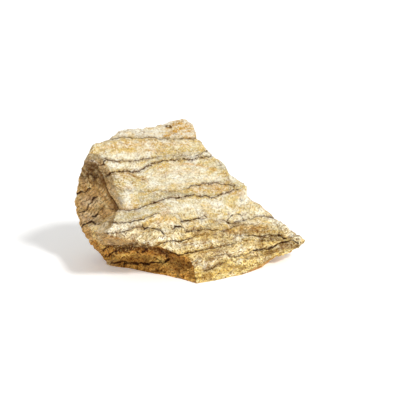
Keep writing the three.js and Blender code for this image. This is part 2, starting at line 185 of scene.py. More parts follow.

# Soft stains, some of them painted shade: radius in mm, strength, and path, as x, z on the broad face or x, y, z
# anywhere, in mm.
# "sides" keeps a stain off the broad face.
stainsAndShade = {
    "white": [
        (4.5, 0.55, [(-17, 48.5), (-8, 48), (-3, 46.5)]),
        (2.8, 0.6, [(-9.1, -3.5, 50.8), (-2.6, -1.7, 48.6), (5, 0.1, 46.4), (11, 2.4, 44)]),
        (2.4, 1, [(-32, 43.5), (-31.5, 41), (-30, 40.5)]),
        (2.2, 1, [(-40.5, 31.2), (-31, 31)]),
        (2, 0.6, [(-38, 61.8), (-27, 60.2)]),
        (1.6, 1, [(23, 16.9), (26, 17)]),
        (1.6, 0.9, [(3, 17.2), (6, 17.4)]),
        (2.2, 0.8, [(16, 11.5), (26, 11.2)]),
        (2.4, 1, [(3, -21.6, 11.4), (5.5, -21.5, 9.2), (8, -21.2, 7.5)]),
        (1.4, 0.6, [(6, 12), (12, 11.6)]),
        (1.6, 0.8, [(22, 29.2), (22.3, 29.4)]),
        (3.5, 0.5, [(-5, 34.5), (14, 33.5)]),
        (1.8, 1, [(44.6, 5.5, 21), (48.1, 4.9, 17), (51.2, 5.1, 13.6), (55.5, 5.5, 10.5)]),
        (0.6, 0.6, [(36.6, -3.7, 11.6), (40.2, -2.5, 11), (43.3, -1.4, 11.3), (45.4, 0, 12.5),
                    (49.6, 3.3, 12.6)]),
        (2.4, 0.7, [(-37, 1, 70.5), (-26, 4, 70), (-18, 6, 69.5)]),
        (1.2, 1, [(-41, -33.5, 30), (-36, -31, 30)]),
        (1.6, 0.3, [(-38, 57.5), (-26, 56.5)]),
        (1.6, 0.6, [(20, 50), (30, 42)]),
        (4, 0.7, [(-48.5, -18, 23), (-46.2, -17.2, 19.4), (-43.4, -15.7, 14.5)]),
        (2, 0.3, [(-36, 27.5), (-29, 26), (-22, 23.5)]),
        (1.8, 0.5, [(-8, 27.6), (-3, 26.6)]),
        (1.2, 0.8, [(-10, 18.2), (2.5, 17.6), (14, 17.2)]),
        (1.8, 0.8, [(-8, 52.8), (0, 51.4), (7, 49.5)]),
        (1.6, 0.35, [(-44, 63.6), (-30, 62), (-22, 61.5)]),
        (1, 0.9, [(-15.6, -20.3, 12.5), (-13.7, -17.6, 10.4)]),
        (1.4, 0.7, [(-52, -7, 57.5), (-46, -11, 58.5)]),
        (1.6, 0.7, [(-35.5, 31.2), (-25, 30.6)]),
        (1.3, 0.6, [(-20, 22.8), (-10, 23), (-2, 22.2)]),
        (3, 0.3, [(-53.9, -4.5, 27), (-46.4, -10.8, 28.8)]),
        (2.6, 0.25, [(-53.8, -3.1, 34.6), (-46.3, -9.9, 37.1)]),
        (2, 0.25, [(-38.1, -18.6, 46.5), (-36.6, -20.3, 44)]),
        (2.6, 0.25, [(28.8, -10.3, 7), (33.9, -8.5, 6.3), (39.6, -6.3, 5.4)]),
    ],
    "honey": [
        (4.5, 1, [(-48.5, -18, 23), (-46.2, -17.2, 19.4), (-43.4, -15.7, 14.5)]),
        (3.5, 0.3, [(-42.3, -2.7, 2.9), (-39.6, -4.3, 2.4), (-33.4, -6.6, 2.4), (-20.4, -13.2, 1.7),
                    (-8, -19, 1)]),
        (2.6, 1, [(-38, -9.8, 7.8), (-33, -11.3, 8.5), (-25.5, -12.2, 8.3), (-18, -14.4, 8), (-12, -17, 7)]),
        (3, 0.4, [(-7.6, -19, 7.3), (-2.6, -21.4, 5), (1, -25, 2)]),
        (3, 1, [(6, 2.5), (14, 3.5), (22, 4)]),
        (2.4, 0.6, [(-4, 13), (10, 12), (22, 12)]),
        (3, 0.8, [(28.3, -10.5, 6.6), (33.4, -8.4, 6.2), (38.6, -6.4, 6), (43.8, -3.4, 6.4)]),
        (1.6, 0.6, [(-2, 22), (16, 19.8)]),
        (1.2, 1, [(36.6, -3.7, 12), (43.3, -1.4, 11.6), (49.6, 3.3, 12.6)]),
        (2, 0.7, [(30, 14.5), (40, 12.6)]),
        (1.6, 0.9, [(-39.6, -5, 4), (-35.9, -6.2, 4.8), (-31.7, -8.5, 6.3)]),
    ],
    "ochre": [
        (1.3, 0.7, [(-44, 66.9), (-34, 66.2), (-20, 64.8), (0, 62)]),
        (1, 0.6, [(-31, 63.2), (-12.6, 61.4)]),
        (0.8, 1.2, [(-15.9, 53.6), (-12.1, 54.2), (-7.8, 54.1), (-1.6, 53.3), (4.4, 52), (12.8, 48.8)]),
        (0.6, 1, [(1, 42.6), (6, 43), (12, 42.6), (18, 41)]),
        (1.2, 0.6, [(-8, 51.2), (-5, 50.5)]),
        (2.2, 0.9, [(3, 41.3), (9, 41.6), (18, 39.8)]),
        (1.2, 0.6, [(-38.5, 54), (-31, 53)]),
        (1, 1.1, [(-30.5, 53.4), (-26, 51.3), (-21, 49)]),
        (1, 0.5, [(-38.5, 48.6), (-27.5, 47.4)]),
        (1, 1, [(-34, 39), (-26.5, 38.4)]),
        (2, 0.7, [(-15, 37), (-12, 34), (-15, 31)]),
        (1.5, 0.6, [(-14, 32), (-9, 29.5)]),
        (2.5, 0.9, [(20, 21), (30, 20), (40, 18.5)]),
        (2, 0.7, [(22, 37), (26, 36.5)]),
        (3, 0.5, [(-8.3, 12.2, 71.2), (-1.2, 14, 70)]),
        (3, 0.5, [(-9.2, 7.7, 68.3), (0.9, 11.8, 66)]),
        (0.8, 1.6, [(-11.9, 9, 69.8), (-8.2, 11.6, 70.8), (-4, 13.7, 71.4)]),
        (0.8, 1.6, [(-9.6, 7.5, 68.2), (-5.2, 10.9, 68.9), (-1.2, 13.9, 69.7)]),
        (0.7, 1.5, [(-12.7, 5.2, 67), (-10.2, 6.7, 67.6), (-7.3, 8.4, 68)]),
        (0.7, 1.5, [(-4.5, 8.9, 66.6), (-1.7, 11.4, 67.2), (0.9, 13.4, 67.6)]),
        (0.9, 1, [(-3.5, 8.4, 65.2), (0.5, 9.8, 64.6)]),
        (0.7, 1, [(-31.9, -5.5, 67.3), (-28.5, -4.3, 65.9)]),
        (0.7, 0.9, [(-25.1, -2.2, 66.3), (-18.1, -0.5, 65.5)]),
        (0.6, 0.9, [(-23, -4, 62.1), (-17.1, -1.2, 61.4)]),
        (0.7, 1, [(-17, 50.2), (-10, 51.3), (-3, 50.8), (4, 49)]),
    ],
    "greyAndShade": [
        (2, 0.5, [(-22, 57), (-15, 57.5), (-4, 58.5), (4, 58.5)]),
        (1.6, 1, [(-24, 41.2), (-12, 41), (-2, 40.6)]),
        (1.6, 0.9, [(14, 50.4), (19, 48)]),
        (1.5, 0.9, [(9, 24.2), (16, 24.6)]),
        (1.5, 0.7, [(-20, 26.8), (-6, 27)]),
        (1.8, 0.5, [(-40, 33), (-34, 35.5), (-22, 35)]),
        (1.4, 0.6, [(-39.5, 53), (-36.5, 47.5), (-34, 43.5), (-33, 40)]),
        # painted shade in the recess under the shoulder
        (2.6, 1.2, [(-52, -3, 56), (-48, -8, 57), (-44, -12, 57)]),
        (2.6, 0.6, [(-49.8, -8.8, 61), (-46.7, -11.3, 60.8), (-43.5, -14.1, 60.7)]),
        # painted shade on the turned-down band under the broad face's lower edge
        (4.5, 0.9, [(-40, -27, 23), (-30, -25.5, 20.5), (-20, -24, 18)], "sides"),
        (2.4, 0.75, [(-41.7, -14.1, 55.5), (-39.7, -16.4, 50), (-37.7, -19, 44), (-36.2, -19.9, 38)]),
    ],
    "umberAndShade": [
        (0.5, 0.6, [(-29.8, 53.2), (-26, 51.2), (-21.6, 49.2)]),
        (2.4, 0.45, [(38, 18), (45, 16)]),
        (1.7, 1, [(46.4, 0.1, 10.4), (50.1, 2.2, 9.8), (53.8, 3.9, 9.2)]),
        (1.5, 1, [(36.5, -2.5, 14.2), (41, -0.5, 13.8), (45.5, 1.5, 13.6)]),
        (1, 0.6, [(34.7, -6.2, 9), (39.1, -5.1, 8.8), (45.8, -1.5, 9)]),
        # painted shadow of the overhang on the band under the broad face
        (2.4, 3, [(-40, -22, 18), (-33, -22, 17.5), (-27, -23.5, 18)]),
        (2.6, 3, [(-39, -17, 14.6), (-31.1, -19.7, 15.8), (-27, -21.7, 16.7), (-23, -23.3, 16.7),
                  (-19, -22.6, 15.4), (-13, -22, 14)]),
        # painted shade on the turned-down band under the broad face's lower edge
        (4.5, 0.6, [(-40, -27, 23), (-30, -25.5, 20.5), (-20, -24, 18)], "sides"),
        (2.6, 1.3, [(-29, -24, 19.5), (-25.5, -26.5, 20.3), (-19.8, -27, 20)], "sides"),
        (2.2, 0.6, [(-9.1, -18.4, 10.2), (-7.1, -19.2, 8.3), (-5.1, -20.5, 5.6)]),
        (1, 1.2, [(-12, 9.9, 70.4), (-10, 10.1, 70.2)]),
        # painted shade in the recess under the shoulder
        (4.5, 1.4, [(-55, 0, 50.5), (-51.6, -3.6, 51), (-48.9, -6.4, 51), (-45, -10, 50)]),
        # painted shade in the recess at the foot of the step
        (1.4, 0.6, [(-44.5, -11.5, 50), (-41, -15, 43), (-37.5, -18.5, 37.5)]),
        (0.7, 0.6, [(-38, -15.2, 54), (-35, -18.5, 47), (-33.5, -21, 41)]),
        (0.6, 1, [(26, 33.3), (26.8, 33.2)]),
        (2.4, 0.25, [(8.5, -22.3, 5.3), (13.5, -20.1, 4.4), (19.1, -17.6, 3.3)]),
        (2.4, 0.4, [(-9.1, -18.7, 4.9), (-5.1, -20.5, 5.6), (-1, -22.8, 6.5)]),
        (1.6, 0.2, [(-36.9, 26.4), (-29.6, 25.7), (-20.8, 24.5)]),
    ],
}


def onFace(place):
    # x, z becomes the point of the broad face there; x, y, z stays
    if len(place) == 3:
        return place
    return (place[0], face["start"] + face["turn"] * place[0] + face["lean"] * place[1], place[1])


def faceDepth(points):
    # how far each point lies behind the broad face, in mm
    return points[:, 1] - (face["start"] + face["turn"] * points[:, 0] + face["lean"] * points[:, 2])


def ease(values, low, high):
    # 0 up to low, 1 from high on, smooth between
    share = np.clip((values - low) / (high - low), 0, 1)
    return share * share * (3 - 2 * share)


def wave(points, size, seed, stretch=(1.0, 1.0, 1.0)):
    # smooth noise from -1 to 1, with lumps about size mm across
    scaled = points / (size * np.array(stretch)) + 17.3 * seed
    return np.array([noise.noise(p) for p in scaled.tolist()])


def broken(points, size, tilt, offset):
    # the surface falls into cells about size mm across, each a small flat of its own
    heights = []
    for x, y, z in (points / size).tolist():
        place = Vector((x, y, z))
        centre = noise.voronoi(place)[1][0]
        turn = noise.cell_vector(centre * 7.0)
        lean = Vector((turn[0] - 0.5, turn[1] - 0.5, turn[2] - 0.5)) * 2
        heights.append(size * tilt * (place - centre).dot(lean) + offset * (noise.cell(centre * 5.0) - 0.5) * 2)
    return np.array(heights)


def wander(points, size, seed):
    # a smooth shift in all three directions
    scaled = points / size + 23.1 * seed
    return np.array([tuple(noise.noise_vector(p)) for p in scaled.tolist()])


def bedding(points):
    # bed: seam number and share of the way to the next one; thick: mm between the two; ink: the nearer seam's;
    # level: height in mm in which the guide seams lie flat
    x, y, z = points.T
    side = ease(faceDepth(points), 2, 8)                  # the seams wander more on the sides
    z = z + (0.3 + 1.2 * side) * wave(points, 5.0, 1, (1, 1, 1.6)) + (0.25 + 0.4 * side) * wave(points, 1.7, 2)
    z += broken(points, beds["jag"], 0.2, 0.12)
    heights, inks = [], []
    for seam in seams:
        alongX, alongZ = zip(*seam["line"])
        line = np.interp(x, alongX, alongZ)
        onLine = np.column_stack([x, y, line])
        level = line - beds["dip"] * faceDepth(onLine)
        if heights:
            level = np.maximum(level, heights[-1] + beds["thinnest"])
        heights.append(level)
        inkX, inkAmount = zip(*seam["ink"])
        inks.append(np.interp(x, inkX, inkAmount))
    heights, inks = np.array(heights), np.array(inks)
    limits = np.vstack([heights[:1] - beds["outer"], heights, heights[-1:] + beds["outer"]])
    here = np.arange(len(x))
    below = (z[None, :] >= heights).sum(0)
    thick = limits[below + 1, here] - limits[below, here]
    bed = below - 1 + (z - limits[below, here]) / thick
    nearest = np.clip(np.rint(bed).astype(int), 0, seamCount - 1)
    between = np.abs(bed - nearest) <= 0.5                # false under the lowest seam and over the highest
    visibleSide = side * ease(-y, -8, -2) * ease(-x, -20, 0)
    ink = between * inks[nearest, here] * (1 - (1 - beds["flankInk"]) * visibleSide)
    lines = np.array([heights[number] for number, flat in beds["guides"]])
    flats = np.array([flat for number, flat in beds["guides"]])
    level = np.where(z < lines[0], z - lines[0] + flats[0], z - lines[-1] + flats[-1])
    for low in range(len(flats) - 1):
        share = (z - lines[low]) / np.maximum(lines[low + 1] - lines[low], 1.0)
        level = np.where((share >= 0) & (share < 1), flats[low] + share * (flats[low + 1] - flats[low]), level)
    return bed, thick, ink, level


def strokeDistance(points, normals, path, reach):
    # distance in mm from each point to the path, measured along the surface; far points get reach
    path = np.array([onFace(p) for p in path], float)
    distance = np.full(len(points), float(reach))
    near = np.all((points > path.min(0) - reach - 3) & (points < path.max(0) + reach + 3), axis=1)
    some, way = points[near], normals[near]
    best = np.full(len(some), float(reach) ** 2)
    for start, end in zip(path, path[1:]):
        run = end - start
        share = np.clip((some - start) @ run / (run @ run), 0, 1)
        away = some - start - share[:, None] * run
        lift = np.minimum(np.abs((away * way).sum(1)), 3.0)
        best = np.minimum(best, (away ** 2).sum(1) - lift ** 2)
    distance[near] = np.sqrt(np.maximum(best, 0))
    return distance


def readVectors(source, name):
    values = np.zeros(len(source) * 3, np.float32)
    source.foreach_get(name, values)
    return values.reshape(-1, 3).astype(float)


def readEdges(mesh):
    values = np.zeros(len(mesh.edges) * 2, np.int32)
    mesh.edges.foreach_get("vertices", values)
    return values.reshape(-1, 2)


def movePoints(mesh, points):
    mesh.vertices.foreach_set("co", (points * mm).astype(np.float32).ravel())
    mesh.update()


def applied(piece):
    # the piece with its modifiers made real
    bpy.context.view_layer.update()
    graph = bpy.context.evaluated_depsgraph_get()
    mesh = bpy.data.meshes.new_from_object(piece.evaluated_get(graph))
    piece.modifiers.clear()
    piece.data = mesh


def smoothed(values, edges, rounds):
    # each point's value becomes the mean of its neighbours', again and again
    count = np.bincount(edges.ravel(), minlength=len(values))[:, None]
    for again in range(rounds):
        total = np.column_stack([
            np.bincount(edges[:, 0], column[edges[:, 1]], len(values))
            + np.bincount(edges[:, 1], column[edges[:, 0]], len(values)) for column in values.T])
        values = total / count
    return values


def unit(vectors):
    return vectors / np.linalg.norm(vectors, axis=1)[:, None]


def keep(mesh, name, values):
    layer = mesh.attributes.new(name, "FLOAT", "POINT")
    layer.data.foreach_set("value", values.astype(np.float32))


lumpShape = {
    "cell": 0.42 * mm,           # edge of the mesh's cells before thinning
    "mostTriangles": 190000,
    "edgeReach": 14,             # rounds of smoothing that find the edges
    "bend": [(13.0, 0.8), (5.0, 0.45), (2.2, 0.2)],    # size and reach in mm of the wandering of edges
    # thin shells that flaked off: size and step in mm, steps in all, softness of a step
    "flake": {"size": 7.0, "step": 0.55, "count": 5, "edge": 0.25},
    # small flat breaks: size in mm, how far each one tilts and how far it is set in or out in mm
    "breaks": [{"size": 5.5, "tilt": 0.14, "offset": 0.26}, {"size": 2.3, "tilt": 0.22, "offset": 0.18}],
    "rough": [(2.8, 0.3), (1.5, 0.34), (0.9, 0.28)],   # size and height in mm of the lumps
    "comb": [(2.2, 0.55), (1.2, 0.4), (0.8, 0.2)],     # the same for the ridges of the left flank
    "bedWaver": 0.9,             # how unevenly the beds stand out
    "groove": 0.36,              # mm deep at a fully dark seam
    "grooveWidth": 0.32,         # mm, about half of its width
    "crackReach": 4.0,           # mm, far enough for the widest crack
    "chip": 1.0,                 # mm lost from sharp edges at most
    "baseFlat": 1.0,             # mm above the ground over which the roughness fades in
    "tipEnd": 58.6,              # mm, where the right tip is broken off blunt
    "tipSquash": 0.75,           # how much of what lies past that is lost
    # where each kind of surface begins and where it is full
    "zones": {
        "upper": (8.8, 9.3),         # bed number: the top beds broke smoother
        "turned": (0.08, 0.25),      # how far the surface has turned away from the broad face
        "skin": (1.2, 7),            # mm behind the broad face: weathered skin
        "skinTurned": (0.15, 0.8),   # the same where the surface has turned away
        "comb": (34, 42),            # mm left of the middle: combed ridges
        "sole": (0.15, 0.6),         # how far the surface faces down
        "overhang": (17, 20),        # mm above the ground, where the rusty underside, with its painted shade, ends
        "front": (1.5, 5),           # mm behind the broad face, over which its coarseness ends
        "lowerBeds": (2.5, 6.5),     # bed number: from coarse to fine
    },
}

lump = bpy.data.objects.new("jasperLump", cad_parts["stone"].data.copy())
bpy.context.scene.collection.objects.link(lump)
even = lump.modifiers.new("even", "REMESH")
even.mode = "VOXEL"
even.voxel_size = lumpShape["cell"]
applied(lump)
points = readVectors(lump.data.vertices, "co") / mm
for place, reach, shift in pushes:
    away = np.linalg.norm(points - place, axis=1) / reach
    points += np.exp(-away ** 2)[:, None] * np.array(shift)
movePoints(lump.data, points)
edges = readEdges(lump.data)
rounded = smoothed(points, edges, lumpShape["edgeReach"])
normals = unit(smoothed(readVectors(lump.data.vertex_normals, "vector"), edges, 3))
edge = ((points - rounded) * normals).sum(1)                # above 0 on sharp edges, below 0 in hollows
broad = unit(smoothed(normals, edges, lumpShape["edgeReach"]))
print("stage 2: remeshed,", len(points), "points")

# kinds of surface, each from 0 to 1
zones = lumpShape["zones"]
bed, thick, ink, level = bedding(points)
depth = faceDepth(points)
x, y, z = points.T
facesUp, facesBack = normals[:, 2], normals[:, 1]
upper = ease(bed, *zones["upper"])
outward = np.array([face["turn"], -1, face["lean"]])
turned = ease(1 - normals @ (outward / np.linalg.norm(outward)), *zones["turned"])
skin = np.maximum(ease(depth, *zones["skin"]), turned * ease(depth, *zones["skinTurned"]))
skin *= (1 - 0.7 * upper) * (1 - 0.6 * ease(facesUp, 0.35, 0.75)) * (1 - 0.6 * ease(facesBack, 0, 0.5))
combed = skin * ease(-x, *zones["comb"]) * ease(-normals[:, 0] - facesBack, 0.3, 0.8)
# sole: faces turned down take a darker rusty tint, part rust and part painted shade
sole = ease(-facesUp, *zones["sole"]) * ease(depth, 0.5, 2) * (1 - 0.75 * ease(z, *zones["overhang"]))
under = turned * ease(depth, 0.3, 1) * ease(-facesBack, 0.2, 0.5) * (1 - ease(z, *zones["overhang"]))
under *= ease(x, -43, -36) * (1 - ease(x, 5, 8))            # the dark front under the broad face; its sole tint is rust and painted shade
sole = np.maximum(sole * (1 - 0.6 * ease(x, 8, 20)), under)
front = np.maximum(1 - ease(depth, *zones["front"]), upper * ease(-facesBack, 0.2, 0.5))
coarse = 0.55 + front * (0.45 - 0.6 * ease(bed, *zones["lowerBeds"]))
coarse += 0.06 * front * ease(bed, 6.2, 7.2) * (1 - upper)
coarse = np.maximum(np.maximum(coarse, sole), 0.85 * ease(facesBack, 0, 0.5))

# beds that stand out or back
nearSeam = (bed - np.rint(bed)) * thick
proud = np.array(beds["proud"])
upperBed = np.clip(np.rint(bed).astype(int) + 1, 1, seamCount)
softness = beds["step"] + 2.0 * (1 - np.clip(ink, 0, 1))                 # a faint seam has no sharp step
stand = proud[upperBed - 1] + (proud[upperBed] - proud[upperBed - 1]) * ease(nearSeam, -softness, softness)
stand *= 1 + lumpShape["bedWaver"] * wave(points, 11.0, 31)

# lumps, ridges, small breaks and flakes
strata = np.column_stack([x, y, level])
rough = sum(height * wave(strata, size, 3 + size, (2.0, 2.0, 1)) for size, height in lumpShape["rough"])
rough *= coarse
slanted = np.column_stack([x + z, y, z - x]) * (0.7, 1, 0.7)               # the left flank is combed up to the right
comb = sum(height * wave(slanted, size, 50 + size, (4.0, 2.0, 1)) for size, height in lumpShape["comb"]) * combed
rough = rough * (1 - 0.5 * combed) + comb
flake = lumpShape["flake"]
flat = strata * (1 / 1.4, 1 / 1.4, 1 / 0.8) + 0.8 * wander(points, 1.5, 5)
breaks = sum(broken(flat, **kind) for kind in lumpShape["breaks"]) * ease(coarse, 0.25, 1.05)
climb = wave(strata, flake["size"], 20, (1.6, 1.6, 0.8)) + 0.35 * wave(points, 2.0, 21) + 0.15 * wave(points, 0.9, 22)
climb = climb * flake["count"]
terrace = np.floor(climb) + ease(climb - np.floor(climb), 0.5 - flake["edge"], 0.5 + flake["edge"])
flakes = flake["step"] * (terrace / flake["count"]) * (0.3 + 0.9 * coarse)

# grooves along the seams and cracks
uneven = ease(wave(points, 2.6, 33) + 0.5 * wave(points, 0.9, 34), -0.45, 0.4)       # seams open and close
groove = lumpShape["groove"] * np.clip(ink, 0, 1.3) * np.exp(-(nearSeam / lumpShape["grooveWidth"]) ** 2)
groove *= 0.3 + 0.7 * uneven
bedNormal = np.array([0, beds["dip"], 1]) / np.hypot(1, beds["dip"])
ink *= 1 - 0.85 * ease(np.abs(broad @ bedNormal), 0.8, 0.95)           # no seam runs where a bed's own top shows
jitter = wave(points, 2.2, 9) * 0.4 + wave(points, 0.9, 10) * 0.4
strayed = points + 0.5 * wander(points, 1.6, 40) + 0.2 * wander(points, 0.8, 41)
crackAndShadeInk = np.zeros(len(points))
# each crack's groove and darkness; in the bands at the step's foot and under the overhang the darkness is painted
# shade
for deep, wide, dark, path in cracksAndShade:
    apart = strokeDistance(strayed, broad, path, lumpShape["crackReach"])
    inside = np.exp(-(np.maximum(apart + jitter * wide, 0) / wide) ** 2)
    groove = np.maximum(groove, deep * inside)
    crackAndShadeInk = np.maximum(crackAndShadeInk, dark * inside)

# all of it together, along the surface's own direction
chipped = ease(wave(points, 3.5, 12) + 0.5 * wave(points, 1.4, 13), -0.1, 0.6)
chip = lumpShape["chip"] * ease(edge, 0.15, 0.7) * chipped
fade = np.clip(z / lumpShape["baseFlat"], 0, 1)
steady = 1 - 0.75 * ease(edge, 0.9, 1.8)                    # knife edges stay whole
move = ((flakes + breaks + rough + stand) * steady - groove - chip) * fade
bend = sum(reach * wander(points, size, size) for size, reach in lumpShape["bend"])
drawn = points
points = points + normals * move[:, None] + bend * fade[:, None]
points += (rounded - drawn) * (0.6 * ease(edge, 1.0, 1.8))[:, None]      # spiky corners are worn off
points[:, 2] = np.maximum(points[:, 2], 0)
points[:, 0] -= lumpShape["tipSquash"] * np.maximum(points[:, 0] - lumpShape["tipEnd"], 0)
movePoints(lump.data, points)

# what the material reads
kept = {"bed": bed, "thick": thick, "level": level, "ink": ink, "skin": skin, "combed": combed, "sole": sole,
        "edge": edge, "relief": rough + flakes + breaks - groove, "crackAndShade": crackAndShadeInk, "coarse": coarse}
for name, marks in stainsAndShade.items():
    kept[name] = np.zeros(len(points))
    for size, strength, path, *where in marks:
        apart = strokeDistance(points, broad, path, 2.5 * size) / size
        reached = turned * ease(depth, 0.1, 0.6) if where else 1
        kept[name] = np.maximum(kept[name], strength * (1 - ease(apart, 0.2, 1.6)) * reached)
for name, values in kept.items():
    keep(lump.data, name, values)
thin = lump.modifiers.new("thin", "DECIMATE")
thin.ratio = min(1.0, lumpShape["mostTriangles"] / (2 * len(lump.data.polygons)))
applied(lump)
lump.data.polygons.foreach_set("use_smooth", [True] * len(lump.data.polygons))
print("stage 3: relief cut,", len(lump.data.polygons), "faces")


def paint(red, green, blue):
    # a colour as it is mixed on a palette, 0 to 255
    return tuple(((c / 255 + 0.055) / 1.055) ** 2.4 for c in (red, green, blue)) + (1.0,)


def add(tree, kind, settings=None, inputs=None):
    made = tree.nodes.new("ShaderNode" + kind)
    for name, value in (settings or {}).items():
        setattr(made, name, value)
    for name, value in (inputs or {}).items():
        if isinstance(value, bpy.types.NodeSocket):
            tree.links.new(value, made.inputs[name])
        else:
            made.inputs[name].default_value = value
    return made


def maths(tree, what, first, second=0.0, clamp=False):
    return add(tree, "Math", {"operation": what, "use_clamp": clamp}, {0: first, 1: second}).outputs[0]


def vectorMaths(tree, what, inputs):
    return add(tree, "VectorMath", {"operation": what}, inputs).outputs[0]


def blend(tree, amount, first, second, how="MIX"):
    made = add(tree, "Mix", {"data_type": "RGBA", "blend_type": how}, {0: amount, 6: first, 7: second})
    return made.outputs[2]


def spread(tree, value, low, high, newLow=0.0, newHigh=1.0, smooth=True):
    # values from low to high become newLow to newHigh
    made = add(tree, "MapRange", {"interpolation_type": "SMOOTHSTEP" if smooth else "LINEAR"},
               {0: value, 1: low, 2: high, 3: newLow, 4: newHigh})
    return made.outputs[0]


def ramp(tree, value, stops):
    made = add(tree, "ValToRGB", None, {0: value})
    band = made.color_ramp
    while len(band.elements) > 1:
        band.elements.remove(band.elements[-1])
    band.elements[0].position, band.elements[0].color = stops[0]
    for place, colour in stops[1:]:
        band.elements.new(place).color = colour
    return made.outputs[0]


def cloud(tree, vector, size, detail, rough, stretch, shift):
    wide = 1 / (size * stretch)
    mapped = add(tree, "Mapping", None, {0: vector, 1: (shift, shift, shift), 3: (wide, wide, 1 / size)})
    return add(tree, "TexNoise", None, {"Vector": mapped.outputs[0], "Scale": 1.0, "Detail": detail,
                                        "Roughness": rough}).outputs[0]


jasper = {
    # dark of seams and cracks, also of the painted shade in the shade bands among the cracks
    "seam": paint(58, 26, 6),
    "seamHalfWidth": 0.2,        # mm
    # tint of each bed, from the sole up
    "beds": [paint(255, 240, 172), paint(255, 228, 156), paint(252, 230, 170), paint(249, 228, 168),
             paint(245, 229, 182), paint(246, 231, 193), paint(222, 210, 167), paint(211, 199, 158),
             paint(216, 206, 168), paint(223, 212, 178), paint(225, 210, 164), paint(249, 246, 237)],
    "gold": paint(226, 192, 108),
    "streak": paint(192, 152, 74),
    "cream": paint(247, 242, 214),
    "white": paint(252, 249, 236),
    "honey": paint(254, 219, 128),
    "ochre": paint(206, 154, 64),
    # grey: the colour of grey stains, also used for painted shade
    "greyAndShade": paint(180, 169, 142),
    "fracture": paint(146, 100, 48),
    # umber: the colour of dark stains, also used for painted shade in hollows, recesses and under the overhang
    "umberAndShade": paint(86, 56, 26),
    "ridge": paint(112, 74, 36),             # lines on the combed flank
    "dark": paint(112, 68, 24),              # specks in the fine upper beds
    "rustyDark": paint(104, 38, 2),          # and in the coarse lower ones
    "wideDark": paint(132, 98, 54),
    "amber": paint(252, 232, 178),           # pale specks in the coarse beds
    "solePale": paint(246, 198, 116),        # and on the sole
    # dirt and painted shade in the low places of the relief
    "dirtAndShade": paint(136, 78, 24),
    "stainAndShadeBorder": paint(160, 112, 54),           # soft border along the seams, part stain and part painted shade
    "speckledStainAndShadeBorder": paint(98, 58, 22),
    "skin": [(0.32, paint(148, 98, 50)), (0.42, paint(206, 156, 92)), (0.50, paint(235, 187, 119)),
             (0.58, paint(242, 206, 144)), (0.68, paint(250, 230, 186))],
    # the sole's tint: rust, made darker as painted shade on faces that turn down
    "sole": [(0.36, paint(40, 16, 2)), (0.43, paint(132, 80, 27)), (0.50, paint(210, 145, 58)),
             (0.57, paint(244, 178, 80)), (0.66, paint(254, 222, 144))],
    # what the mottling multiplies the colour by, from dark specks to pale sugar
    "mottle": [(0.35, (0.30, 0.12, 0.02, 1)), (0.415, (0.65, 0.42, 0.17, 1)), (0.46, (1.02, 0.95, 0.68, 1)),
               (0.50, (1.19, 1.18, 1.05, 1)), (0.55, (1.36, 1.38, 1.32, 1)), (0.62, (1.7, 1.74, 1.8, 1))],
    "fractureSize": 4.5,         # mm between the fine fracture lines
    "fineGrain": 0.58,           # mm
    "wideGrain": 1.1,            # mm
    "grainStretch": 0.65,        # below 1, the specks are longer along the beds
    "bump": 0.5 * mm,            # depth of the finest grain
    "specular": 0.12,
    # how strongly each layer covers what lies below
    "cover": {"goldStripes": 0.65, "creamStripes": 0.6, "streaks": 0.65, "whitePatches": 0.7, "goldVeins": 0.5,
              "whiteVeins": 0.6, "fractures": 0.6, "skin": 0.85, "ochre": 0.7, "greyAndShade": 0.75, "white": 0.8,
              "sole": 0.95, "honey": 0.75, "umberAndShade": 0.8, "ridges": 0.9, "fineRust": 0.2, "wideRust": 0.15,
              "wideDark": 0.22, "wornEdges": 0.3, "hollows": 0.5, "dirtAndShade": 0.42, "stainAndShadeBorder": 0.35,
              "speckledStainAndShadeBorder": 0.7, "seams": 0.93},
    # cloudy noises: size of the lumps in mm, detail, roughness, stretch along the beds, shift
    "clouds": {
        "wobble": (7, 4, 0.55, 1, 0),
        "stripes": (1.4, 4, 0.6, 14, 0),
        "streaks": (2.6, 3, 0.5, 7, 40),
        "streakGaps": (2.0, 4, 0.65, 3, 45),
        "patches": (4.5, 6, 0.7, 2.0, 80),
        "veins": (2.4, 5, 0.6, 2.6, 260),
        "fractureGaps": (7.0, 3, 0.6, 1, 300),
        "mottle": (0.78, 5, 0.75, 1.7, 160),
        "tatter": (2.4, 6, 0.75, 1.5, 60),       # breaks up the stains and the painted shade
        "skin": (1.8, 6, 0.7, 3.6, 120),
        "sole": (1.3, 6, 0.76, 3, 140),
        "sway": (8.0, 4, 0.55, 1, 30),           # bends the ridges of the flank
        "ridgeGaps": (4.0, 3, 0.6, 1, 35),
        "ragged": (0.8, 3, 0.7, 1, 220),         # frays the seams
        "breakup": (1.8, 4, 0.7, 1, 200),
        "dirtAndShade": (0.9, 4, 0.75, 1.4, 240),
    },
}


